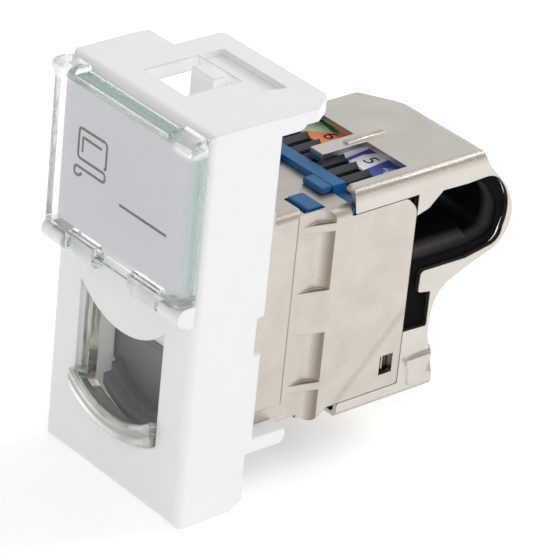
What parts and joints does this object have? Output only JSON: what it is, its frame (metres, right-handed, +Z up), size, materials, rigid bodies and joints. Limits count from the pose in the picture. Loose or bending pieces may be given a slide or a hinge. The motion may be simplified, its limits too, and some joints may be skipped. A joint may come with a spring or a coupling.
{
  "type": "rj45 wall socket module",
  "caption": "Shielded network socket module with a sprung shutter, a hinged clear label lid, a metal jack body and a push-fit metal rear hood.",
  "frame": {"origin": "centre of the module on the plane of its front face", "axes": "+X to the right of the face as it is seen from the front, +Y into the wall, +Z up"},
  "size_m": [0.0226, 0.0477, 0.045],
  "materials": {
    "white_plastic": "satin white moulded plastic",
    "label_card": "matt grey printed card",
    "clear_plastic": "clear moulded plastic, faint green",
    "dark_plastic": "satin dark grey plastic",
    "spring_steel": "bright drawn wire",
    "cast_shell": "nickel-plated die casting, softly polished",
    "sheet_metal": "nickel-plated sheet, rolled",
    "black_plastic": "matt black plastic",
    "gloss_black": "glossy black plastic",
    "blue_plastic": "satin blue plastic",
    "slate_plastic": "satin slate plastic",
    "board": "green solder-masked laminate",
    "label_green": "printed label",
    "label_violet": "printed label",
    "gold": "gold-plated spring strip",
    "tinned_bronze": "tinned bronze"
  },
  "bodies": {
    "module": {"front_support": "white_plastic", "label_card": "label_card", "port_liner": "clear_plastic", "jack_shell": "cast_shell", "port_insert": "black_plastic", "circuit_board": "board", "wire_frame": "blue_plastic", "wire_comb": "slate_plastic", "pin_label_left": "label_green", "pin_label_right": "label_violet", "rear_hood": "sheet_metal", "cable_guide": "gloss_black", "shutter_spring_left": "spring_steel", "shutter_spring_right": "spring_steel", "contact_1": "gold", "contact_2": "gold", "contact_3": "gold", "contact_4": "gold", "contact_5": "gold", "contact_6": "gold", "contact_7": "gold", "contact_8": "gold", "idc_blade_1": "tinned_bronze", "idc_blade_2": "tinned_bronze", "idc_blade_3": "tinned_bronze", "idc_blade_4": "tinned_bronze", "idc_blade_5": "tinned_bronze", "idc_blade_6": "tinned_bronze", "idc_blade_7": "tinned_bronze", "idc_blade_8": "tinned_bronze"},
    "lid": {"label_lid": "clear_plastic"},
    "shutter": {"shutter": "dark_plastic"}
  },
  "joints": [
    {"name": "lid_hinge", "type": "hinge", "parent": "module", "child": "lid", "pos_m": [0, -0.00115, 0.00275], "axis": [1, 0, 0], "range_deg": [0, 110]},
    {"name": "shutter_slide", "type": "slide", "parent": "module", "child": "shutter", "axis": [0, 0, 1], "range_m": [0, 0.0079], "stiffness_N_per_m": 40, "springref_m": -0.004, "deforming": ["shutter_spring_left", "shutter_spring_right"]}
  ]
}
